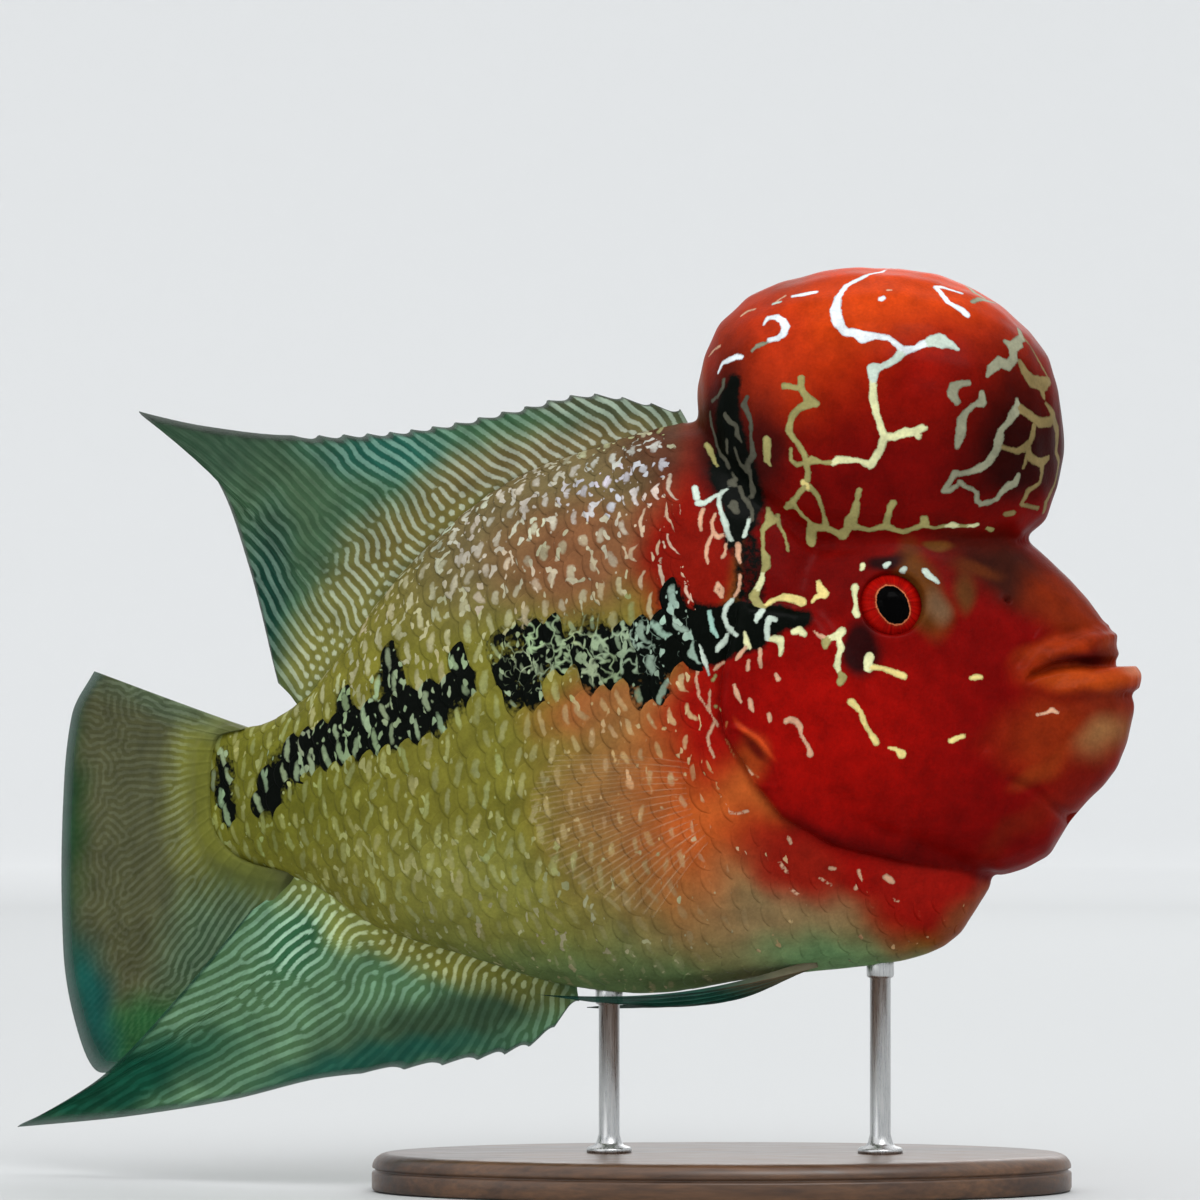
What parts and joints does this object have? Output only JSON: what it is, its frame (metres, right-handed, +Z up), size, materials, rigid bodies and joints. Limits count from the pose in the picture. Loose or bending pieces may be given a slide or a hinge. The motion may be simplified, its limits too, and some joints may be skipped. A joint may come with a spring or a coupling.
{
  "type": "flowerhorn cichlid model",
  "caption": "Life-size still model of an adult male flowerhorn cichlid with a large nuchal hump, swimming with its tail swung to one side, held by rods on an oval base.",
  "frame": {"origin": "on the floor, under the middle of the whole model's box", "axes": "+X towards the fish's head, +Y towards its left side, +Z up"},
  "size_m": [0.271, 0.1098, 0.2213],
  "materials": {
    "red_skin": "wet red fish skin",
    "hump_skin": "wet orange-red skin with pale lines",
    "olive_skin": "scaled olive skin with pearly spots",
    "lip_skin": "smooth orange lips",
    "fin_membrane": "thin green fin membrane on rays",
    "clear_membrane": "clear fin membrane on rays",
    "eye": "polished glass eye",
    "base_wood": "dark oiled hardwood",
    "rod_steel": "brushed steel"
  },
  "bodies": {
    "root": {"anal_fin": "fin_membrane", "caudal_fin": "fin_membrane", "dorsal_fin": "fin_membrane", "eye_left": "eye", "eye_right": "eye", "gill_cover_left": "red_skin", "gill_cover_right": "red_skin", "head": "red_skin", "lower_lip": "lip_skin", "nuchal_hump": "hump_skin", "pectoral_fin_left": "clear_membrane", "pectoral_fin_right": "clear_membrane", "pelvic_fin_left": "fin_membrane", "pelvic_fin_right": "fin_membrane", "stand_base": "base_wood", "stand_rod_front": "rod_steel", "stand_rod_rear": "rod_steel", "tail_stalk": "olive_skin", "trunk": "olive_skin", "upper_lip": "lip_skin"}
  },
  "joints": []
}
